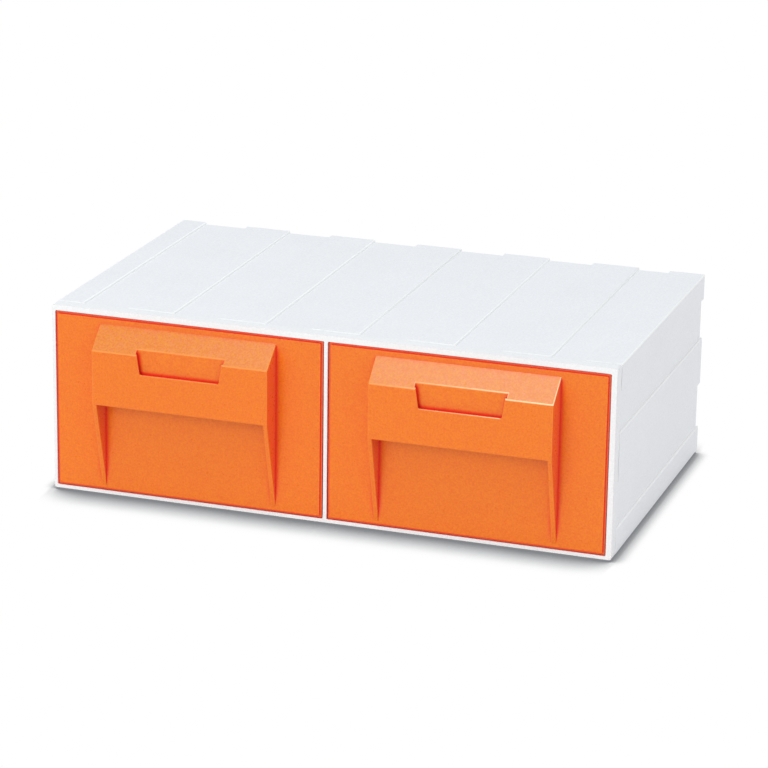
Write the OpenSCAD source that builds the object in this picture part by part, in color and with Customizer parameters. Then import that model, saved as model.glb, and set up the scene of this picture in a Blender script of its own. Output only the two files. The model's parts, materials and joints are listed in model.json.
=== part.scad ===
// Two-drawer cabinet for compact-disc cases, millimetres.
// The case is a moulded shell whose outside carries shallow bands that run front to back.
// Bands stand proud on the top and right, and their mates stand proud below and on the left,
// so cases stack and link side by side. Case coordinates: X right from the plain left face,
// Y back from the front face, Z up from the plain underside.

/* [Case] */
// Width from the plain left face to the raised right face
case_w = 420; // [400:1:470]
// Depth from the front face to the rear edge
case_d = 250; // [220:1:300]
// Height from the plain underside to the raised top
case_h = 139; // [134:1:165]
// Thickness of every case wall
wall = 2.5; // [2.2:0.1:3]
// Radius of the long outer corners
corner_r = 1.5; // [0.8:0.1:2]

/* [Link bands] */
// How far the raised bands stand above the low ones
band_step = 1.8; // [1:0.1:2.4]
// Distance from one band to the next
band_pitch = 70; // [60:1:90]
// Width of a raised band
band_w = 36; // [30:1:42]
// Where the first raised band ends, from the left face and from the underside
band_first = 19.5; // [12:0.5:30]
// Width of the raised band along the right edge of the top
top_corner_w = 27; // [20:1:34]
// Width of the raised band along the top edge of the right side
side_corner_w = 19.5; // [14:0.5:26]
// Clearance on each flank of a mating band
link_gap = 0.5; // [0.3:0.1:1]
// Radius on the edges of a band
band_r = 1; // [0.3:0.1:1]

/* [Front frame] */
// Depth of the plain border round the front
frame_d = 10.5; // [8:0.5:16]
// Width of the bar between the two openings
bar_w = 2.9; // [2.6:0.1:6]
// Width of the shallow line where the shell meets the frame
reveal_w = 1.2; // [0.6:0.1:2]
// Depth of that line
reveal_d = 0.5; // [0.2:0.1:0.8]
// Length of the tongues that plug into the top bands and stop the drawers
stop_tongue_l = 40; // [20:1:70]
// Length of the other tongues
tongue_l = 9; // [6:1:20]
// Radius of the opening corners
opening_r = 0.8; // [0.4:0.1:2]

/* [Back and partition] */
// Thickness of the back panel
back_t = 2.5; // [2:0.1:4]
// Distance of the back panel from the rear edge of the shell
back_recess = 2; // [1:0.5:6]
// Depth of the flange round the back panel
flange_d = 6; // [4:0.5:10]
// Thickness of that flange
flange_t = 1.6; // [1.2:0.1:2.4]
// Diameter of the studs that stop a closed drawer
stud_dia = 10; // [6:0.5:14]
// Height of those studs above the underside
stud_z = 62; // [40:1:90]
// Distance of a stud from the side of its opening, as a share of the opening's width
stud_share = 0.25; // [0.15:0.05:0.4]
// Thickness of the partition between the drawers
partition_t = 2.5; // [2:0.1:2.6]
// Depth of the grooves that hold the partition
groove_d = 1; // [0.6:0.1:1.4]

/* [Drawer front] */
// Gap beside the drawer front
gap_side = 0.6; // [0.5:0.1:1.5]
// How far the left drawer has slid over to the left in that gap
left_play = 0.3; // [0:0.05:0.3]
// Gap above the drawer front
gap_top = 0.4; // [0.3:0.1:1.5]
// Gap below the drawer front
gap_below = 0.4; // [0.3:0.1:1.2]
// Thickness of the drawer front
front_t = 2.5; // [2:0.1:3.5]
// Width of the shallow step round the edge of the drawer front
edge_step_w = 1.6; // [0.4:0.1:2]
// Depth of that step
edge_step_d = 1.2; // [0.4:0.1:1.5]
// Depth of the rim behind the drawer front
rim_d = 6.5; // [4:0.5:9]
// Thickness of that rim
rim_t = 2; // [1.5:0.1:2.5]

/* [Handle hood] */
// Width of the hood where it leaves the drawer front
hood_w = 134.4; // [100:0.2:160]
// How much each side of the hood leans in towards its face
hood_draft = 0.4; // [0:0.1:1]
// How far the hood stands out from the drawer front
hood_d = 17; // [14:0.5:24]
// Distance from the top of the drawer front down to the hood
hood_drop = 5.6; // [3:0.1:12]
// Height of the sloping top of the hood
slope_h = 15.3; // [10:0.1:20]
// Height of the upright face of the hood
face_h = 40.6; // [34:0.1:50]
// Wall thickness of the hood
hood_t = 2.5; // [2:0.1:3]
// Thickness of the side cheeks
cheek_t = 3.6; // [2.4:0.1:5]
// Distance from the bottom of the drawer front up to the end of the cheeks
cheek_end = 3.4; // [2:0.1:12]

/* [Card pocket] */
// Width of the card window along its top
window_w = 64.5; // [50:0.5:80]
// Height of the card window
window_h = 14; // [10:0.5:18]
// How much each side of the window leans in at the bottom
window_lean = 2; // [1:0.1:4]
// Radius of the lower window corners
window_r = 1; // [0.5:0.1:2]
// Thickness of the lip in front of the card
lip_t = 1.3; // [1:0.1:1.8]
// Thickness of the slot behind the lip
slot_t = 2.7; // [1.5:0.1:3]
// How far the slot runs past the window on each side
slot_side = 1; // [0.6:0.1:2]
// How far the slot runs below the window
slot_below = 1.5; // [1:0.1:4]
// Thickness of the wall behind and round the slot
pocket_t = 2; // [1.5:0.1:3]

/* [Tray] */
// Wall thickness of the tray
tray_wall = 2; // [1.6:0.1:2.5]
// Floor thickness of the tray
tray_floor = 2; // [1.6:0.1:2.5]
// Height of the tray
tray_h = 112; // [90:1:120]
// Radius of the upright corners of the tray
tray_r = 3; // [2.6:0.1:8]
// How far the lip along each side of the tray stands out
tray_lip = 1.8; // [1:0.1:1.9]
// Height of that lip
tray_lip_h = 4; // [2:0.5:8]
// Gap between the rim of the drawer front and the lips and runners
lip_gap = 1; // [0.5:0.5:3]
// Width of a runner under the tray
runner_w = 4; // [3:0.5:6]
// Distance of the runners from the tray's sides
runner_in = 3; // [3:0.5:8]
// Width of a stop finger at the rear of the tray
finger_w = 16; // [10:0.5:20]
// How far the web in front of a stop finger reaches forward
finger_web = 6; // [3:0.5:12]
// Height of that web
finger_web_h = 22; // [10:1:40]
// Gap between the tray and the flange of the back panel
tray_rear_gap = 3.5; // [2:0.5:8]

/* [Divider] */
// Thickness of the loose divider
divider_t = 2; // [1.6:0.1:3]
// Height of the divider
divider_h = 96; // [60:1:105]
// How far the divider's top corners are cut back
divider_cut = 12; // [4:1:20]
// Number of places for the divider
divider_places = 5; // [3:1:6]
// Which of those places it stands in, counted from the front
divider_at = 4; // [1:1:6]
// Width of each rib that holds the divider, and how far it stands out
guide_rib = 1.4; // [1:0.1:2]
// Height of those ribs above the floor of the tray
guide_h = 84; // [50:1:86]

/* [Hooks] */
// Width of a hook that holds a drawer front on its tray
hook_w = 10; // [6:0.5:16]
// Thickness of the hook's arm and of its catch
hook_t = 1.6; // [1.2:0.1:2]
// How far the catch reaches past the edge of its hole
hook_bite = 0.4; // [0.2:0.1:0.8]
// Distance of the hooks from the tray's sides
hook_in = 18; // [12:1:30]
// Distance of the lower hooks from the underside of the tray
hook_low = 16; // [8:1:30]
// Distance of the upper hooks from the top of the tray
hook_high = 22; // [10:1:40]

/* [Fits] */
// Clearance between a drawer and what it slides on
run_gap = 0.3; // [0.2:0.05:0.5]
// Clearance between parts that plug together
fit_gap = 0.25; // [0.15:0.05:0.4]
// Height of a snap bump above its clearance
snap_h = 0.5; // [0.3:0.1:0.7]
// Length of a snap bump across the pull
snap_w = 12; // [8:0.5:16]
// Width of a snap bump along the pull
snap_d = 2; // [1.5:0.1:3]

/* [Hidden] */
$fn = 48;
// Overlap of pieces that are joined, and how far a cut runs past a surface
eps = 0.01;
over = 1;
white = [0.93, 0.94, 0.95];
orange = [0.95, 0.42, 0.10];

// Openings in the front, and the hollow behind them
thick_side = wall + band_step;
opening_w = (case_w - wall - thick_side - bar_w) / 2;
opening_h = case_h - wall - thick_side;
opening_pitch = opening_w + bar_w;
partition_x = wall + opening_w + bar_w / 2;
// Narrowest low place between two raised bands, and how far a band's outline laps the plain one
min_low = 4 * wall;
lap = wall / 2;

// Raised bands along an edge of length l that ends in a raised corner c wide
function raised_bands(l, c) = concat(
    [for (e = band_first; e <= l - c - min_low; e = e + band_pitch) [max(0, e - band_w), e]],
    [[l - c, l]]);
// Mating bands, which stand proud opposite the low places between raised ones
function mating_bands(b) = [for (i = [0:len(b) - 2]) [b[i][1] + link_gap, b[i + 1][0] - link_gap]];
top_bands = raised_bands(case_w, top_corner_w);
side_bands = raised_bands(case_h, side_corner_w);
under_bands = mating_bands(top_bands);
left_bands = mating_bands(side_bands);
function middle(b) = (b[0] + b[1]) / 2;

// Partition, which reaches into the hollow of a band where it meets one
function in_hollow(x, bands, m) = len([for (b = bands) if (x > b[0] + m && x < b[1] - m) b]) > 0;
partition_margin = wall + partition_t;
partition_floor = in_hollow(partition_x, under_bands, partition_margin) ? wall - band_step : wall;
partition_ceiling = in_hollow(partition_x, top_bands, partition_margin)
    ? case_h - wall : case_h - thick_side;
partition_low = partition_floor - groove_d;
partition_high = partition_ceiling + groove_d;

// Back panel
back_y = case_d - back_recess - back_t;
flange_y = back_y - flange_d;

// Drawer front
panel_h = opening_h - gap_top - gap_below;
panel_z = wall + gap_below;
hood_x = (opening_w - hood_w) / 2;
slope_rear_z = panel_z + panel_h - hood_drop;
slope_front_z = slope_rear_z - slope_h;
face_low_z = slope_front_z - face_h;
slope_angle = atan2(slope_h, hood_d);
slope_under = hood_t / cos(slope_angle);
window_mid = opening_w / 2;
window_low_z = slope_front_z - window_h;
slot_w = window_w + 2 * slot_side;
slot_low_z = window_low_z - slot_below;
slot_y = -hood_d + lip_t;
pocket_d = lip_t + slot_t + pocket_t;

// Tray
left_x = wall - left_play;
right_x = wall + opening_pitch;
tray_in = gap_side + rim_t + fit_gap;
tray_w = opening_w - 2 * tray_in;
tray_z = panel_z + rim_t + fit_gap;
tray_y = front_t;
tray_back = flange_y - tray_rear_gap;
tray_top = tray_z + tray_h;
tray_d = tray_back - tray_y;
runner_z = wall + run_gap;
finger_top = case_h - wall - run_gap;
catch_y = tray_y + tray_wall;
lip_y = front_t + rim_d + lip_gap;
hook_xs = [tray_in + hook_in, opening_w - tray_in - hook_in];
hook_zs = [tray_z + hook_low, tray_top - hook_high];
hole_h = hook_t + snap_h + fit_gap;

// Divider
place_pitch = (tray_d - 2 * tray_wall) / (divider_places + 1);
function place_y(i) = tray_y + tray_wall + i * place_pitch;
divider_w = tray_w - 2 * tray_wall - 2 * fit_gap;
divider_z = tray_z + tray_floor + fit_gap;

// Moves case coordinates so the part stands on Z = 0, centred in X and Y
module place() {
    translate([-(case_w - band_step) / 2, -(case_d - hood_d) / 2, band_step]) children();
}

// A block between two corners
module block(low, high) {
    translate(low) cube(high - low);
}

// A flat rectangle between two corners, with round corners
module rounded(low, high, r) {
    translate([low[0] + r, low[1]]) square([high[0] - low[0] - 2 * r, high[1] - low[1]]);
    translate([low[0], low[1] + r]) square([high[0] - low[0], high[1] - low[1] - 2 * r]);
    for (x = [low[0] + r, high[0] - r], y = [low[1] + r, high[1] - r])
        translate([x, y]) circle(r);
}

// A front-view outline made solid from y0 to y1
module along_y(y0, y1) {
    translate([0, y1, 0]) rotate([90, 0, 0]) linear_extrude(y1 - y0) children();
}

// A side-view outline, drawn as Y then Z, made solid from x0 to x1
module along_x(x0, x1) {
    translate([x0, 0, 0]) rotate([90, 0, 90]) linear_extrude(x1 - x0) children();
}

// Outline of the shell's outside, drawn in by s
module outer_outline(s = 0) {
    low_w = case_w - band_step;
    low_h = case_h - band_step;
    rounded([s, s], [low_w - s, low_h - s], corner_r);
    for (b = top_bands) rounded([b[0] + s, low_h - lap], [b[1] - s, case_h - s], band_r);
    for (b = side_bands) rounded([low_w - lap, b[0] + s], [case_w - s, b[1] - s], band_r);
    for (b = under_bands) rounded([b[0] + s, s - band_step], [b[1] - s, lap], band_r);
    for (b = left_bands) rounded([s - band_step, b[0] + s], [lap, b[1] - s], band_r);
}

// Outline of the shell's hollow, drawn in by s. It follows the bands at one wall thickness.
module inner_outline(s = 0) {
    t = wall + s;
    high_x = case_w - band_step - t;
    high_z = case_h - band_step - t;
    deep = band_step + lap;
    translate([t, t]) square([high_x - t, high_z - t]);
    for (b = top_bands) translate([b[0] + t, high_z - lap]) square([b[1] - b[0] - 2 * t, deep]);
    for (b = side_bands) translate([high_x - lap, b[0] + t]) square([deep, b[1] - b[0] - 2 * t]);
    for (b = under_bands) translate([b[0] + t, t - band_step]) square([b[1] - b[0] - 2 * t, deep]);
    for (b = left_bands) translate([t - band_step, b[0] + t]) square([deep, b[1] - b[0] - 2 * t]);
}

// Slot for the partition, wider than it by g on each side
module partition_slot(y0, y1, g) {
    half = partition_t / 2 + g;
    block([partition_x - half, y0, 0], [partition_x + half, y1, case_h]);
}

// Snap bump on a level face at height z, standing up (up = 1) or down (up = -1)
module snap(x, y, z, up, h, grow = 0) {
    w = snap_w / 2 + grow;
    d = snap_d / 2 + grow;
    block([x - w, y - d, up > 0 ? z - eps : z - h], [x + w, y + d, up > 0 ? z + h : z + eps]);
}

// Snaps of the back panel: two above, in low places, and two below
module back_snaps(h, grow = 0) {
    y = flange_y + flange_d / 2;
    last = len(under_bands) - 1;
    for (i = [1, last - 1]) {
        snap(middle(under_bands[i]), y, case_h - thick_side - fit_gap, 1, h, grow);
        snap(middle(top_bands[i]), y, wall + fit_gap, -1, h, grow);
    }
}

// Snaps of the front frame: on the first and last full tongues above and below
module frame_snaps(h, grow = 0) {
    top_y = frame_d + stop_tongue_l / 2;
    low_y = frame_d + tongue_l / 2;
    last = len(under_bands) - 1;
    for (i = [1, last]) snap(middle(top_bands[i]), top_y, case_h - wall - fit_gap, 1, h, grow);
    for (i = [0, last - 1])
        snap(middle(under_bands[i]), low_y, wall - band_step + fit_gap, -1, h, grow);
}

module case_shell() {
    color(white) difference() {
        union() {
            along_y(frame_d, frame_d + reveal_w) outer_outline(reveal_d);
            along_y(frame_d + reveal_w, case_d) outer_outline();
        }
        along_y(frame_d - over, case_d + over) inner_outline();
        // Grooves that hold the partition in the floor and the ceiling
        half = partition_t / 2 + fit_gap;
        block([partition_x - half, frame_d - over, partition_low],
              [partition_x + half, back_y, partition_high]);
        back_snaps(fit_gap + snap_h + fit_gap, fit_gap);
        frame_snaps(fit_gap + snap_h + fit_gap, fit_gap);
    }
}

// Tongues behind the frame, each in the hollow of one band
module frame_tongues() {
    t = wall + fit_gap;
    edge = wall + eps;
    y0 = frame_d - eps;
    top_y = frame_d + stop_tongue_l;
    side_y = frame_d + tongue_l;
    for (b = top_bands)
        block([b[0] + t, y0, case_h - thick_side - eps], [b[1] - t, top_y, case_h - t]);
    for (b = side_bands)
        block([case_w - thick_side - eps, y0, b[0] + t], [case_w - t, side_y, b[1] - t]);
    for (b = under_bands) block([b[0] + t, y0, t - band_step], [b[1] - t, side_y, edge]);
    for (b = left_bands) block([t - band_step, y0, b[0] + t], [edge, side_y, b[1] - t]);
}

module front_frame() {
    color(white) difference() {
        union() {
            along_y(0, frame_d) rounded([0, 0], [case_w, case_h], corner_r);
            frame_tongues();
            frame_snaps(fit_gap + snap_h);
        }
        for (i = [0, 1]) {
            x = wall + i * opening_pitch;
            along_y(-over, frame_d + stop_tongue_l + over)
                rounded([x, wall], [x + opening_w, wall + opening_h], opening_r);
        }
        partition_slot(frame_d, frame_d + stop_tongue_l + over, fit_gap);
    }
}

module centre_partition() {
    x = partition_x - partition_t / 2;
    notch = flange_t + 2 * fit_gap;
    color(white) difference() {
        block([x, frame_d, partition_low], [x + partition_t, back_y, partition_high]);
        // The rear corners clear the flange of the back panel
        block([x - over, flange_y - fit_gap, -over],
              [x + partition_t + over, case_d, wall + notch]);
        block([x - over, flange_y - fit_gap, case_h - thick_side - notch],
              [x + partition_t + over, case_d, case_h]);
    }
}

module back_panel() {
    color(white) {
        difference() {
            union() {
                along_y(flange_y, back_y + back_t) inner_outline(fit_gap);
                back_snaps(fit_gap + snap_h);
            }
            along_y(flange_y - over, back_y) inner_outline(fit_gap + flange_t);
        }
        // Studs that stop each closed drawer
        for (i = [0, 1], k = [stud_share, 1 - stud_share])
            translate([wall + i * opening_pitch + k * opening_w, back_y + eps, stud_z])
                rotate([90, 0, 0]) cylinder(h = back_y - tray_back - run_gap + eps, d = stud_dia);
    }
}

// Ribs on one inner side of a tray that hold the divider, from x0 to x1
module guide_ribs(x0, x1) {
    off = divider_t / 2 + fit_gap;
    for (i = [1:divider_places], s = [-1, 1]) {
        y = place_y(i) + s * off + (s < 0 ? -guide_rib : 0);
        block([x0, y, tray_z + eps], [x1, y + guide_rib, tray_z + tray_floor + guide_h]);
    }
}

// Tray of the drawer whose opening starts at case position x
module tray(x) {
    lo = tray_in;
    hi = opening_w - tray_in;
    // Stop fingers rise into the hollows of the raised bands above this opening
    finger_xs = [for (b = top_bands) if (middle(b) - finger_w / 2 > x + lo
        && middle(b) + finger_w / 2 < x + hi) middle(b) - x];
    translate([x, 0, 0]) difference() {
        union() {
            difference() {
                translate([0, 0, tray_z]) linear_extrude(tray_h)
                    rounded([lo, tray_y], [hi, tray_back], tray_r);
                translate([0, 0, tray_z + tray_floor]) linear_extrude(tray_h)
                    rounded([lo + tray_wall, tray_y + tray_wall],
                            [hi - tray_wall, tray_back - tray_wall], tray_r - tray_wall);
            }
            guide_ribs(lo + tray_wall - eps, lo + tray_wall + guide_rib);
            guide_ribs(hi - tray_wall - guide_rib, hi - tray_wall + eps);
            // Lips along the sides
            for (s = [0, 1]) {
                x0 = s == 0 ? lo - tray_lip : hi - tray_wall;
                x1 = s == 0 ? lo + tray_wall : hi + tray_lip;
                block([x0, lip_y, tray_top - tray_lip_h], [x1, tray_back - tray_r, tray_top]);
            }
            // Runners under the floor
            for (rx = [lo + runner_in, hi - runner_in - runner_w])
                block([rx, lip_y, runner_z], [rx + runner_w, tray_back - tray_r, tray_z + eps]);
            for (fx = finger_xs) stop_finger(fx);
        }
        for (hx = hook_xs, hz = hook_zs)
            block([hx - hook_w / 2 - fit_gap, tray_y - over, hz - fit_gap],
                  [hx + hook_w / 2 + fit_gap, catch_y + over, hz + hole_h]);
    }
}

// A stop finger on the tray's rear wall, with a web in front of it
module stop_finger(x) {
    half = finger_w / 2;
    y0 = tray_back - tray_wall;
    block([x - half, y0, tray_top - tray_lip_h], [x + half, tray_back, finger_top]);
    for (wx = [x - half, x + half - tray_wall])
        along_x(wx, wx + tray_wall)
            polygon([[y0 + eps, tray_top - finger_web_h], [y0 + eps, tray_top],
                     [y0 - finger_web, tray_top], [y0 - finger_web, tray_top - tray_wall]]);
}

// Hooks on the back of a drawer front that pass through the tray's front wall
module hooks() {
    reach = catch_y + fit_gap;
    tip = reach + hook_t;
    half = hook_w / 2;
    for (hx = hook_xs, hz = hook_zs) {
        block([hx - half, front_t - eps, hz], [hx + half, tip, hz + hook_t]);
        block([hx - half, reach, hz], [hx + half, tip, hz + hole_h + hook_bite]);
    }
}

// Side view of the whole hood, without its hollow
module hood_profile(low_z) {
    polygon([[eps, slope_rear_z], [-hood_d, slope_front_z], [-hood_d, face_low_z],
             [eps, low_z]]);
}

// Room between the leaning sides of the hood, seen from above
module hood_plan() {
    lean = hood_draft / hood_d;
    lo = hood_x - lean * over;
    hi = hood_x + hood_w + lean * over;
    in = lean * (hood_d + 2 * over);
    linear_extrude(case_h)
        polygon([[lo, over], [lo + in, -hood_d - over], [hi - in, -hood_d - over], [hi, over]]);
}

// The hollow hood that makes the handle
module hood() {
    inner_top = slope_rear_z - slope_under;
    inner_front = slope_front_z - slope_under + hood_t * slope_h / hood_d;
    difference() {
        intersection() {
            union() {
                along_x(hood_x - over, hood_x + hood_w + over) hood_profile(face_low_z);
                along_x(hood_x - over, hood_x + cheek_t) hood_profile(panel_z + cheek_end);
                along_x(hood_x + hood_w - cheek_t, hood_x + hood_w + over)
                    hood_profile(panel_z + cheek_end);
            }
            hood_plan();
        }
        difference() {
            along_x(hood_x + cheek_t, hood_x + hood_w - cheek_t)
                polygon([[0, inner_top], [hood_t - hood_d, inner_front],
                         [hood_t - hood_d, face_low_z - over], [0, face_low_z - over]]);
            pocket_block();
        }
    }
}

// Thicker part of the hood round the card slot
module pocket_block() {
    half = slot_w / 2 + pocket_t;
    block([window_mid - half, -hood_d, slot_low_z - pocket_t],
          [window_mid + half, pocket_d - hood_d, slope_rear_z]);
}

// The card slot and the window in its lip
module card_pocket() {
    half = slot_w / 2;
    block([window_mid - half, slot_y, slot_low_z],
          [window_mid + half, slot_y + slot_t, slope_rear_z + over]);
    top = window_w / 2;
    low = top - window_lean;
    rise = slope_rear_z - window_low_z;
    lean_up = window_lean * rise / window_h;
    along_y(-hood_d - over, slot_y + eps) {
        polygon([[window_mid - low, window_low_z + window_r],
                 [window_mid + low, window_low_z + window_r],
                 [window_mid + low + lean_up, slope_rear_z],
                 [window_mid - low - lean_up, slope_rear_z]]);
        rounded([window_mid - low, window_low_z],
                [window_mid + low, window_low_z + 3 * window_r], window_r);
    }
}

// Outline of a drawer front, drawn in by s
module front_outline(s = 0) {
    rounded([gap_side + s, panel_z + s], [opening_w - gap_side - s, panel_z + panel_h - s], opening_r);
}

// Drawer front of the opening that starts at case position x
module drawer_front(x) {
    translate([x, 0, 0]) difference() {
        union() {
            difference() {
                union() {
                    along_y(0, front_t) front_outline(edge_step_w);
                    along_y(edge_step_d, front_t + rim_d) front_outline();
                }
                along_y(front_t, front_t + rim_d + over) front_outline(rim_t);
            }
            hood();
            hooks();
        }
        card_pocket();
    }
}

// Loose divider in the tray of the opening that starts at case position x
module divider(x) {
    half = divider_w / 2;
    mid = opening_w / 2;
    y = place_y(min(divider_at, divider_places));
    top = divider_z + divider_h;
    translate([x, 0, 0]) along_y(y - divider_t / 2, y + divider_t / 2)
        polygon([[mid - half, divider_z], [mid + half, divider_z],
                 [mid + half, top - divider_cut], [mid + half - divider_cut, top],
                 [mid - half + divider_cut, top], [mid - half, top - divider_cut]]);
}

module left_tray() { color(orange) tray(left_x); }
module left_front() { color(orange) drawer_front(left_x); }
module left_divider() { color(white) divider(left_x); }
module right_tray() { color(orange) tray(right_x); }
module right_front() { color(orange) drawer_front(right_x); }
module right_divider() { color(white) divider(right_x); }

place() case_shell();
place() front_frame();
place() centre_partition();
place() back_panel();
place() left_tray();
place() left_front();
place() left_divider();
place() right_tray();
place() right_front();
place() right_divider();
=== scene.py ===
"""Looks of the two-drawer cabinet: moulded plastic, a pale floor and soft studio light."""

import json
import math
from collections import namedtuple

import bpy
from mathutils import Matrix, Vector


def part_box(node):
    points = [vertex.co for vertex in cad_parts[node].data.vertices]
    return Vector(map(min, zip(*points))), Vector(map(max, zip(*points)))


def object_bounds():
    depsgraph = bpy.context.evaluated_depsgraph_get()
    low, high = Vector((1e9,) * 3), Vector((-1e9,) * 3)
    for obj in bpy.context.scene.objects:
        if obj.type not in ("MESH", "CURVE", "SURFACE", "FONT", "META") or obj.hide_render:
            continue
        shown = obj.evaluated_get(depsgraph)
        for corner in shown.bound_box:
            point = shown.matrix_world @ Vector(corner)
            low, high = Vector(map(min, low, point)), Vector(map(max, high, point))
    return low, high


MM = 0.001

# A colour that changes from the left one to the right one between two places in X
Fade = namedtuple("Fade", "left right start end")

# A colour of the surfaces that face along an axis, or half way between two, which paints light or shade
# by the way they face. The limits say how far they face that way where the colour begins and where it is
# full.
Turned = namedtuple("Turned", "axes limits colour")

# Painted shade in gaps and corners narrower than reach: the colour a plastic turns to there, standing in
# for the shade and the light passed from wall to wall, how far back in Y it does so, and how bright the
# painted dark bottom of a deep gap stays
Gap = namedtuple("Gap", "colour reach back bottom")

# Noise: patches per metre, how many levels of finer patches they hold, and how strong each level is
Noise = namedtuple("Noise", "scale detail roughness")

# How a plastic shines, how strong its grain is, and two pairs of tints. It wanders between the first
# two from speck to speck, and between the other two from blotch to blotch.
Finish = namedtuple("Finish", "roughness specular grain mottle")

# A rectangular lamp that faces the point it is aimed at
Lamp = namedtuple("Lamp", "name place aim width depth colour watts")

# Camera: where it stands in the frame, its turn, tilt and roll, its lens and sensor, and its reach
CAMERA_PLACE = Vector((0.7436, -2.1988, 0.8221))
CAMERA_YAW = math.radians(18.59)
CAMERA_PITCH = math.radians(17.95)
CAMERA_ROLL = math.radians(0.86)
CAMERA_LENS_MM = 155.25
CAMERA_SENSOR_MM = 36
CAMERA_NEAR = 0.05
CAMERA_FAR = 60

# Colours, linear: each plastic, its rounded edges and what it changes to in gaps. All but the three
# plain plastics, WHITE, FRAME_WHITE and ORANGE, are painted light and shade.
WHITE = (0.852, 0.860, 0.888, 1)
# Painted highlight: rounded white edges, and the shell's band fillets, brighter than the plastic
WHITE_EDGE_HIGHLIGHT = (1.0, 1.0, 1.0, 1)
# Painted shade: white rounded edges that face the front, darker against the stronger light there
WHITE_EDGE_FRONT_SHADE = (0.79, 0.795, 0.82, 1)
# Painted light: pure white in the shell's narrow corners, lifting their shade
WHITE_GAP_LIGHT = (1.0, 1.0, 1.0, 1)
FRAME_WHITE = (0.868, 0.868, 0.887, 1)
# Painted light: the frame's faces that face the front, a little lighter
FRAME_FRONT_LIGHT = (0.88, 0.89, 0.89, 1)
# Painted shade and painted orange bounce light: red in the frame's narrow gaps beside the fronts
FRAME_GAP_SHADE = (0.92, 0.09, 0.06, 1)
ORANGE = (0.882, 0.187, 0.004, 1)
# Painted sheen and light: orange faces turned up, paler and less red
ORANGE_UP_SHEEN = (0.80, 0.230, 0.030, 1)
# Painted shade: drawer fronts' faces turned to the right, darker and redder
ORANGE_RIGHT_SHADE = (0.96, 0.140, 0.032, 1)
# Faint painted highlight: rounded orange edges, a touch lighter than the orange
ORANGE_EDGE = (0.90, 0.21, 0.010, 1)
# Painted highlight: rounded orange edges that face up
ORANGE_EDGE_UP_HIGHLIGHT = (0.88, 0.28, 0.035, 1)
# Painted highlight at its brightest, on the right front's upward edges towards its right
ORANGE_EDGE_LIT = (1.0, 0.72, 0.41, 1)
# Painted shade: orange turned deep red in narrow gaps and recesses, standing in for shade and light
# passed between the walls
ORANGE_GAP_SHADE = (0.88, 0.026, 0.024, 1)

# Where the painted highlight on the right hood's front edge begins and is full, from the left end of its
# front
EDGE_LIGHT_START = 30 * MM
EDGE_LIGHT_FULL = 170 * MM

# Limits of the turned colours, all painted light and shade: a painted highlight on the shell's bands to
# the upper right, painted light on the frame and painted shade on the white edges to the front, painted
# sheen on the slopes of the hoods up, painted shade on their sides to the right, a painted highlight on
# orange edges up
BAND_TURN = (0.05, 0.2)
FRAME_TURN = (-0.5, -0.9)
WHITE_EDGE_TURN = (-0.3, -0.6)
SLOPE_TURN = (0.2, 0.5)
SIDE_TURN = (0.5, 0.8)
ORANGE_EDGE_TURN = (0.1, 0.4)

# Reach of each plastic's painted gap shade, and how far behind the front of the frame its gap colour
# ends
SHELL_GAP_REACH = 2 * MM
FRAME_GAP_REACH = 1.3 * MM
FRAME_GAP_DEPTH = 7 * MM
ORANGE_GAP_REACH = 4 * MM
ORANGE_GAP_BOTTOM = 0.35

# All painted gap shade: how much open sky, from 0 to 1, is left where its colour is full and where it
# begins, and the same for its painted dark bottom. GAP_END is the stretch over which the colour ends at
# the back.
GAP_SKY = (0.5, 0.93)
GAP_BOTTOM_SKY = (0.03, 0.2)
GAP_END = 1 * MM
GAP_SAMPLES = 8

# Patterns in the plastics. Limits are the noise values where a pattern is at its one end and at its
# other. A cloud is CLOUD_SHADE times as bright, and the roughness wanders by ROUGHNESS_CHANGE.
FINE_GRAIN = Noise(scale=1400, detail=3, roughness=0.6)
COARSE_GRAIN = Noise(scale=420, detail=2, roughness=0.5)
SPECKLE = Noise(scale=800, detail=0, roughness=0.5)
BLOTCH = Noise(scale=560, detail=1, roughness=0.5)
CLOUD = Noise(scale=14, detail=3, roughness=0.55)
MOTTLE_LIMITS = (0.38, 0.62)
CLOUD_LIMITS = (0.3, 0.7)
CLOUD_SHADE = 0.975
ROUGHNESS_LIMITS = (0.2, 0.8)
ROUGHNESS_CHANGE = 0.05
FINE_GRAIN_DEPTH = 0.05 * MM
COARSE_GRAIN_DEPTH = 0.12 * MM

# Tints and finish of the plastics
WHITE_MOTTLE = (
    ((0.975, 0.98, 0.985, 1), (1.02, 1.02, 1.015, 1)),
    ((0.985, 0.99, 0.99, 1), (1.01, 1.01, 1.01, 1)),
)
ORANGE_MOTTLE = (
    ((0.975, 0.90, 0.4, 1), (1.02, 1.10, 1.6, 1)),
    ((0.99, 0.93, 1.5, 1), (1.01, 1.07, 0.5, 1)),
)
ORANGE_EDGE_MOTTLE = (
    ((0.98, 0.97, 0.9, 1), (1.02, 1.03, 1.1, 1)),
    ((0.99, 0.99, 0.99, 1), (1.01, 1.01, 1.01, 1)),
)
WHITE_FINISH = Finish(roughness=0.42, specular=0.4, grain=0.25, mottle=WHITE_MOTTLE)
ORANGE_FINISH = Finish(roughness=0.3, specular=0.45, grain=0.3, mottle=ORANGE_MOTTLE)
ORANGE_EDGE_FINISH = ORANGE_FINISH._replace(mottle=ORANGE_EDGE_MOTTLE)

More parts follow.
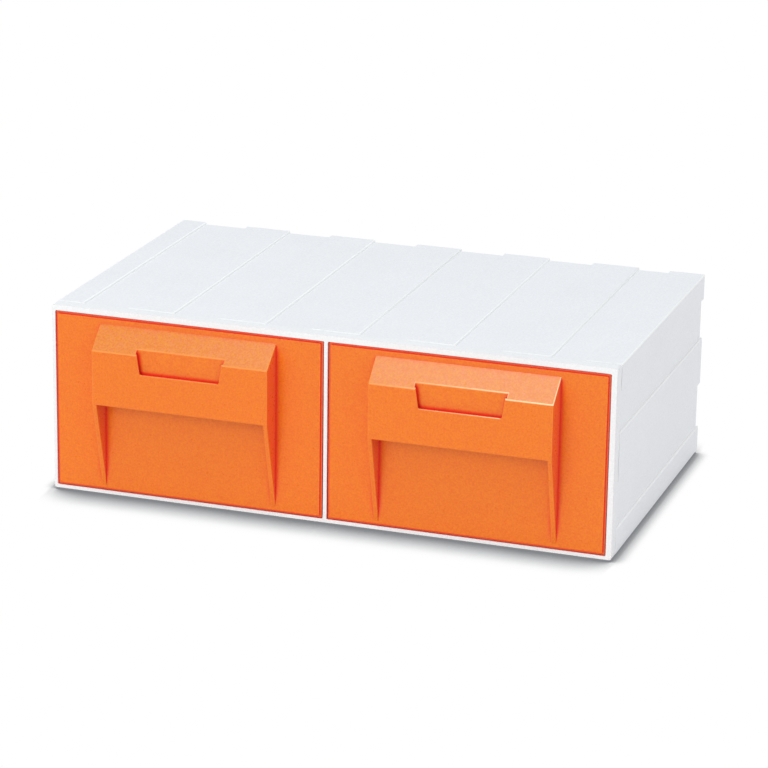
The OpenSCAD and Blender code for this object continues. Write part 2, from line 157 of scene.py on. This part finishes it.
# Rounded edges. A CAD edge is rounded where it is this long and sharp and lies in front of a plane,
# which stays PLANE_MARGIN clear of the faces. EDGE_MATERIAL is the place of the rounded edges' plastic
# among a node's materials, which mostly carries painted highlights and shade. Welding joins the corners
# that the CAD mesh repeats.
LEAST_EDGE_LENGTH = 3 * MM
LEAST_EDGE_ANGLE = math.radians(35)
PLANE_MARGIN = 1 * MM
EDGE_RADIUS = 0.5 * MM
HOOD_EDGE_RADIUS = 0.7 * MM
EDGE_SEGMENTS = 3
EDGE_MATERIAL = 1
WELD_DISTANCE = 0.001 * MM

# Floor: its colour, and the light that it throws up on the object. The camera sees it white, with a
# contact shadow, whose reach beside the object differs from that before and behind it and changes
# over SHADOW_CORNER. SHADOW_SKY is the open sky, from 0 to 1, where it is full and where it begins.
FLOOR_SIZE = 30
FLOOR_COLOUR = (0.8, 0.8, 0.8, 1)
FLOOR_GLOW = (0.135, 0.12, 0.12, 1)
FLOOR_WHITE = (1, 1, 1, 1)
FLOOR_SHADOW = (0.232, 0.240, 0.255, 1)
SHADOW_REACH_FRONT = 42 * MM
SHADOW_REACH_SIDE = 15 * MM
SHADOW_CORNER = 3 * MM
SHADOW_SKY = (0.5, 0.9)
SHADOW_SAMPLES = 16

# Light from all round, the backdrop that is seen in its place, and the lamps
WORLD_COLOUR = (0.97, 0.985, 1, 1)
WORLD_STRENGTH = 0.77
BACKDROP = (0.8, 0.8, 0.8, 1)
LAMPS = (
    Lamp("key_front", place=(-0.7, -2.8, 1.35), aim=(0, 0, 0.07), width=1.4, depth=1.4,
         colour=(1, 1, 1), watts=21),
    Lamp("top", place=(-0.2, -0.5, 1.7), aim=(-0.1, -0.1, 0.1), width=0.7, depth=0.35,
         colour=(0.86, 0.95, 0.94), watts=5.2),
    Lamp("right_rear", place=(2.0, 0.9, 1.8), aim=(0, 0, 0.07), width=1.2, depth=1.2,
         colour=(1, 1, 1), watts=3),
)

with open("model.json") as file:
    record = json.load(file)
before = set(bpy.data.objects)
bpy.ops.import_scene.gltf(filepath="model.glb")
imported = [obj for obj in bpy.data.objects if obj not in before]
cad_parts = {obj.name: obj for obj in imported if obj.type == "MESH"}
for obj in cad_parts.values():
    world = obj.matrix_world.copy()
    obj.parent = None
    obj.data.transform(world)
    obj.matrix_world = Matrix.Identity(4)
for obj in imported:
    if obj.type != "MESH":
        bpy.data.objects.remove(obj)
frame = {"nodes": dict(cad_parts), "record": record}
cad_low, cad_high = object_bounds()
border_front_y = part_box("front_frame")[0].y
right_front_left_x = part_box("right_front")[0].x


class Nodes:
    """A node tree, with short calls that add nodes. They take plain values or outputs of other nodes."""

    def __init__(self, tree):
        self.tree = tree
        tree.nodes.clear()

    def add(self, kind, inputs=None, **properties):
        """Adds a node, sets its properties and then its inputs, which go by name or number."""
        node = self.tree.nodes.new(kind)
        for name, value in properties.items():
            setattr(node, name, value)
        for key, value in (inputs or {}).items():
            if isinstance(value, bpy.types.NodeSocket):
                self.tree.links.new(value, node.inputs[key])
            else:
                node.inputs[key].default_value = value
        return node

    def calculate(self, operation, *values):
        return self.add("ShaderNodeMath", dict(enumerate(values)), operation=operation).outputs[0]

    def remap(self, value, limits, ends=(0, 1)):
        """Takes a value between two limits to one between two ends, and no further."""
        names = ("Value", "From Min", "From Max", "To Min", "To Max")
        inputs = dict(zip(names, (value, *limits, *ends)))
        return self.add("ShaderNodeMapRange", inputs).outputs["Result"]

    def mix(self, factor, a, b, blend="MIX"):
        """Mixes two colours, which are inputs 6 and 7 of the node and output 2."""
        inputs = {0: factor, 6: a, 7: b}
        return self.add("ShaderNodeMix", inputs, data_type="RGBA", blend_type=blend).outputs[2]

    def split(self, vector):
        """The parts of a vector, by the names X, Y and Z."""
        return self.add("ShaderNodeSeparateXYZ", {"Vector": vector}).outputs

    def noise(self, place, pattern):
        inputs = {
            "Vector": place,
            "Scale": pattern.scale,
            "Detail": pattern.detail,
            "Roughness": pattern.roughness,
        }
        return self.add("ShaderNodeTexNoise", inputs).outputs["Fac"]

    def open_sky(self, reach, samples):
        """How much of the sky nothing within reach hides, from 0 to 1."""
        node = self.add("ShaderNodeAmbientOcclusion", {"Distance": reach}, samples=samples)
        return node.outputs["AO"]

    def facing(self, axes):
        """How far the surface faces along an axis, or half way between two axes."""
        parts = self.split(self.add("ShaderNodeNewGeometry").outputs["Normal"])
        value = parts[axes[0]]
        for axis in axes[1:]:
            value = self.calculate("MULTIPLY", value, parts[axis])
        return value

    def end_by_ray(self, output, lights, seen):
        """Ends the tree. The camera and mirror-like rays see one shader, and the other gives light."""
        rays = self.add("ShaderNodeLightPath").outputs
        direct = self.calculate("MAXIMUM", rays["Is Camera Ray"], rays["Is Glossy Ray"])
        inputs = {0: direct, 1: lights.outputs[0], 2: seen.outputs[0]}
        either = self.add("ShaderNodeMixShader", inputs)
        self.add(output, {"Surface": either.outputs[0]})


def new_material(name):
    """A material and its empty node tree."""
    material = bpy.data.materials.new(name)
    material.use_nodes = True
    return material, Nodes(material.node_tree)


def plastic_tone(n, place, position, colour, turned, mottle):
    """The colour of a plastic: cloudy, painted light or shade where its surface is turned, and mottled.
    """
    shade = [CLOUD_SHADE * part for part in colour[:3]] + [1]
    tone = n.mix(n.remap(n.noise(place, CLOUD), CLOUD_LIMITS), colour, shade)
    for axes, limits, there in turned:
        if isinstance(there, Fade):
            across = n.remap(position["X"], (there.start, there.end))
            there = n.mix(across, there.left, there.right)
        tone = n.mix(n.remap(n.facing(axes), limits), tone, there)
    for pattern, tints in zip((SPECKLE, BLOTCH), mottle):
        tint = n.mix(n.remap(n.noise(place, pattern), MOTTLE_LIMITS), *tints)
        tone = n.mix(1, tone, tint, "MULTIPLY")
    return tone


def paint_shade_in_gaps(n, position, tone, gap):
    """Paints shade into gaps: turns a colour to that of the gaps where walls hide the sky, and paints
    their bottoms darker.
    """
    sky = n.open_sky(gap.reach, GAP_SAMPLES)
    front = n.remap(position["Y"], (gap.back, gap.back + GAP_END), (1, 0))
    painted_shade = n.mix(front, tone, gap.colour)
    tone = n.mix(n.remap(sky, GAP_SKY, (1, 0)), tone, painted_shade)
    return n.mix(1, tone, n.remap(sky, GAP_BOTTOM_SKY, (gap.bottom, 1)), "MULTIPLY")


def moulded_plastic(name, colour, turned, finish, gap):
    """Matte moulded plastic with a fine spark-eroded grain, faint mottling and cloudiness, and painted
    light and shade where it is turned and in gaps.
    """
    material, n = new_material(name)
    place = n.add("ShaderNodeTexCoord").outputs["Object"]
    position = n.split(n.add("ShaderNodeNewGeometry").outputs["Position"])
    tone = plastic_tone(n, place, position, colour, turned, finish.mottle)

    fine = n.noise(place, FINE_GRAIN)
    coarse = n.noise(place, COARSE_GRAIN)
    fine_bump = n.add("ShaderNodeBump", {
        "Strength": finish.grain,
        "Distance": FINE_GRAIN_DEPTH,
        "Height": fine,
    })
    bump = n.add("ShaderNodeBump", {
        "Strength": finish.grain,
        "Distance": COARSE_GRAIN_DEPTH,
        "Height": coarse,
        "Normal": fine_bump.outputs["Normal"],
    })
    roughness = (finish.roughness - ROUGHNESS_CHANGE, finish.roughness + ROUGHNESS_CHANGE)
    shader = n.add("ShaderNodeBsdfPrincipled", {
        "Base Color": paint_shade_in_gaps(n, position, tone, gap),
        "Roughness": n.remap(coarse, ROUGHNESS_LIMITS, roughness),
        "Specular IOR Level": finish.specular,
        "Normal": bump.outputs["Normal"],
    })
    n.add("ShaderNodeOutputMaterial", {"Surface": shader.outputs["BSDF"]})
    return material


def white(name, colour, turned, edge, edge_front, gap):
    """White plastic, and that of its rounded edges, whose colour may be a painted highlight, and a
    painted shade where they face the front.
    """
    edge_turned = [Turned("Y", WHITE_EDGE_TURN, edge_front)]
    faces = moulded_plastic(name, colour, turned, WHITE_FINISH, gap)
    edges = moulded_plastic(name + "_edge", edge, edge_turned, WHITE_FINISH, gap)
    return faces, edges


def orange(name, turned, edge_up_highlight):
    """Orange plastic, and that of its rounded edges, with painted highlights where they face up."""
    edge_turned = [Turned("Z", ORANGE_EDGE_TURN, edge_up_highlight)]
    gap = Gap(ORANGE_GAP_SHADE, ORANGE_GAP_REACH, back=cad_high.y, bottom=ORANGE_GAP_BOTTOM)
    faces = moulded_plastic(name, ORANGE, turned, ORANGE_FINISH, gap)
    edges = moulded_plastic(name + "_edge", ORANGE_EDGE, edge_turned, ORANGE_EDGE_FINISH, gap)
    return faces, edges


def shell_plastics():
    # Painted light in the shell's corners, and a painted highlight on its band fillets that face the
    # upper right
    gap = Gap(WHITE_GAP_LIGHT, SHELL_GAP_REACH, back=cad_high.y, bottom=1)
    turned = [Turned("XZ", BAND_TURN, WHITE_EDGE_HIGHLIGHT)]
    return white("white_plastic", WHITE, turned, WHITE_EDGE_HIGHLIGHT, WHITE_EDGE_FRONT_SHADE, gap)


def frame_plastics():
    # Painted red shade and bounce light in the frame's gaps, and painted light on its faces that face
    # the front
    gap = Gap(FRAME_GAP_SHADE, FRAME_GAP_REACH, back=border_front_y + FRAME_GAP_DEPTH, bottom=1)
    turned = [Turned("Y", FRAME_TURN, FRAME_FRONT_LIGHT)]
    return white("white_frame", FRAME_WHITE, turned, FRAME_WHITE, FRAME_WHITE, gap)


def dress(plastics):
    """Gives every CAD node the plastics of its slot in the record, or those made for that node."""
    for part in frame["record"]["subparts"]:
        piece = frame["nodes"][part["node"]]
        piece.data.materials.clear()
        for material in plastics.get(part["node"]) or plastics[part["material_slot"]]:
            piece.data.materials.append(material)


def dress_all():
    """Makes the plastics, with painted sheen on faces turned up, painted shade on the drawer fronts'
    redder sides, and on the right one painted highlights on its upper edges.
    """
    tray_turned = [Turned("Z", SLOPE_TURN, ORANGE_UP_SHEEN)]
    front_turned = tray_turned + [Turned("X", SIDE_TURN, ORANGE_RIGHT_SHADE)]
    # The right front's painted highlight grows from left to right
    light_start = right_front_left_x + EDGE_LIGHT_START
    light_full = right_front_left_x + EDGE_LIGHT_FULL
    edge_light = Fade(ORANGE_EDGE_UP_HIGHLIGHT, ORANGE_EDGE_LIT, light_start, light_full)
    dress({
        "white_plastic": shell_plastics(),
        "front_frame": frame_plastics(),
        "orange_plastic": orange("orange_plastic", tray_turned, ORANGE_EDGE_UP_HIGHLIGHT),
        "left_front": orange("orange_left_front", front_turned, ORANGE_EDGE_UP_HIGHLIGHT),
        "right_front": orange("orange_right_front", front_turned, edge_light),
    })


def sharp_edge_weights(most_y):
    """Geometry nodes that mark the long sharp outer edges in front of most_y for the bevel modifier."""
    tree = bpy.data.node_groups.new("sharp_edge_weights", "GeometryNodeTree")
    for in_out in ("INPUT", "OUTPUT"):
        tree.interface.new_socket("Geometry", in_out=in_out, socket_type="NodeSocketGeometry")
    n = Nodes(tree)
    mesh = n.add("NodeGroupInput").outputs[0]
    angle = n.add("GeometryNodeInputMeshEdgeAngle").outputs["Signed Angle"]
    ends = n.add("GeometryNodeInputMeshEdgeVertices").outputs
    both_ends = {0: ends["Position 1"], 1: ends["Position 2"]}
    length = n.add("ShaderNodeVectorMath", both_ends, operation="DISTANCE").outputs["Value"]
    twice_middle = n.split(n.add("ShaderNodeVectorMath", both_ends, operation="ADD").outputs[0])
    is_sharp = n.calculate("GREATER_THAN", angle, LEAST_EDGE_ANGLE)
    is_long = n.calculate("GREATER_THAN", length, LEAST_EDGE_LENGTH)
    is_in_front = n.calculate("LESS_THAN", twice_middle["Y"], 2 * most_y)
    weight = n.calculate("MULTIPLY", n.calculate("MULTIPLY", is_sharp, is_long), is_in_front)
    marks = {"Geometry": mesh, "Name": "bevel_weight_edge", "Value": weight}
    store = n.add("GeometryNodeStoreNamedAttribute", marks, data_type="FLOAT", domain="EDGE")
    n.add("NodeGroupOutput", {0: store.outputs["Geometry"]})
    return tree


def round_edges(piece, weights, radius):
    """Rounds a CAD node's marked edges and keeps its flat faces flat. Its own mesh stays as it is."""
    weld = piece.modifiers.new("weld", "WELD")
    weld.merge_threshold = WELD_DISTANCE
    marks = piece.modifiers.new("edge_weights", "NODES")
    marks.node_group = weights
    bevel = piece.modifiers.new("round_edges", "BEVEL")
    bevel.width = radius
    bevel.segments = EDGE_SEGMENTS
    bevel.material = EDGE_MATERIAL
    bevel.limit_method = "WEIGHT"
    bevel.use_clamp_overlap = False
    bevel.harden_normals = True


def round_all_edges():
    """Rounds every node. On a drawer front only the hood is rounded, and more than the other nodes."""
    hood_edges = sharp_edge_weights(border_front_y - PLANE_MARGIN)
    all_edges = sharp_edge_weights(cad_high.y + PLANE_MARGIN)
    for name, piece in frame["nodes"].items():
        if name.endswith("_front"):
            round_edges(piece, hood_edges, HOOD_EDGE_RADIUS)
        else:
            round_edges(piece, all_edges, EDGE_RADIUS)


def floor_material():
    """White floor. The camera and mirror-like rays see pure white with a soft contact shadow.

    The shadow follows the sky that the object hides, so it stays with a drawer that opens.
    """
    material, n = new_material("floor_white")
    diffuse = n.add("ShaderNodeBsdfDiffuse", {"Color": FLOOR_COLOUR})
    glow = n.add("ShaderNodeEmission", {"Color": FLOOR_GLOW})
    lights = n.add("ShaderNodeAddShader", {0: diffuse.outputs[0], 1: glow.outputs[0]})

    place = n.split(n.add("ShaderNodeTexCoord").outputs["Object"])
    sideways = n.calculate("ABSOLUTE", place["X"])
    half_width = (cad_high.x - cad_low.x) / 2
    corner = (half_width, half_width + SHADOW_CORNER)
    reach = n.remap(sideways, corner, (SHADOW_REACH_FRONT, SHADOW_REACH_SIDE))
    sky = n.remap(n.open_sky(reach, SHADOW_SAMPLES), SHADOW_SKY)
    seen = n.add("ShaderNodeEmission", {"Color": n.mix(sky, FLOOR_SHADOW, FLOOR_WHITE)})
    n.end_by_ray("ShaderNodeOutputMaterial", lights, seen)
    return material


def make_floor():
    bpy.ops.mesh.primitive_plane_add(size=FLOOR_SIZE, location=(0, 0, cad_low.z))
    floor = bpy.context.object
    floor.name = "floor"
    floor.data.materials.append(floor_material())


def make_world():
    """Even light from all round. The camera and mirror-like rays see an even pale grey."""
    world = bpy.data.worlds.new("studio")
    bpy.context.scene.world = world
    world.use_nodes = True
    n = Nodes(world.node_tree)
    lights = n.add("ShaderNodeBackground", {"Color": WORLD_COLOUR, "Strength": WORLD_STRENGTH})
    seen = n.add("ShaderNodeBackground", {"Color": BACKDROP, "Strength": 1})
    n.end_by_ray("ShaderNodeOutputWorld", lights, seen)


def make_lamp(lamp):
    data = bpy.data.lights.new(lamp.name, "AREA")
    data.color = lamp.colour
    data.shape = "RECTANGLE"
    data.size = lamp.width
    data.size_y = lamp.depth
    data.energy = lamp.watts
    body = bpy.data.objects.new(lamp.name, data)
    bpy.context.scene.collection.objects.link(body)
    body.location = lamp.place
    body.rotation_mode = "QUATERNION"
    body.rotation_quaternion = (Vector(lamp.aim) - Vector(lamp.place)).to_track_quat("-Z", "Y")


def make_camera():
    """The camera of the photograph's view, built from the directions to its right, ahead and up."""
    data = bpy.data.cameras.new("camera")
    data.lens = CAMERA_LENS_MM
    data.sensor_width = CAMERA_SENSOR_MM
    data.clip_start = CAMERA_NEAR
    data.clip_end = CAMERA_FAR
    camera = bpy.data.objects.new("camera", data)
    bpy.context.scene.collection.objects.link(camera)
    right = Vector((math.cos(CAMERA_YAW), math.sin(CAMERA_YAW), 0))
    ahead = Vector((-math.sin(CAMERA_YAW) * math.cos(CAMERA_PITCH),
                    math.cos(CAMERA_YAW) * math.cos(CAMERA_PITCH),
                    -math.sin(CAMERA_PITCH)))
    up = right.cross(ahead)
    x = right * math.cos(CAMERA_ROLL) + up * math.sin(CAMERA_ROLL)
    y = -right * math.sin(CAMERA_ROLL) + up * math.cos(CAMERA_ROLL)
    turn = Matrix((x, y, -ahead)).transposed().to_4x4()
    camera.matrix_world = Matrix.Translation(CAMERA_PLACE) @ turn
    bpy.context.scene.camera = camera


dress_all()
round_all_edges()
make_floor()
make_world()
for lamp in LAMPS:
    make_lamp(lamp)
make_camera()

bpy.context.scene.view_settings.view_transform = "Standard"
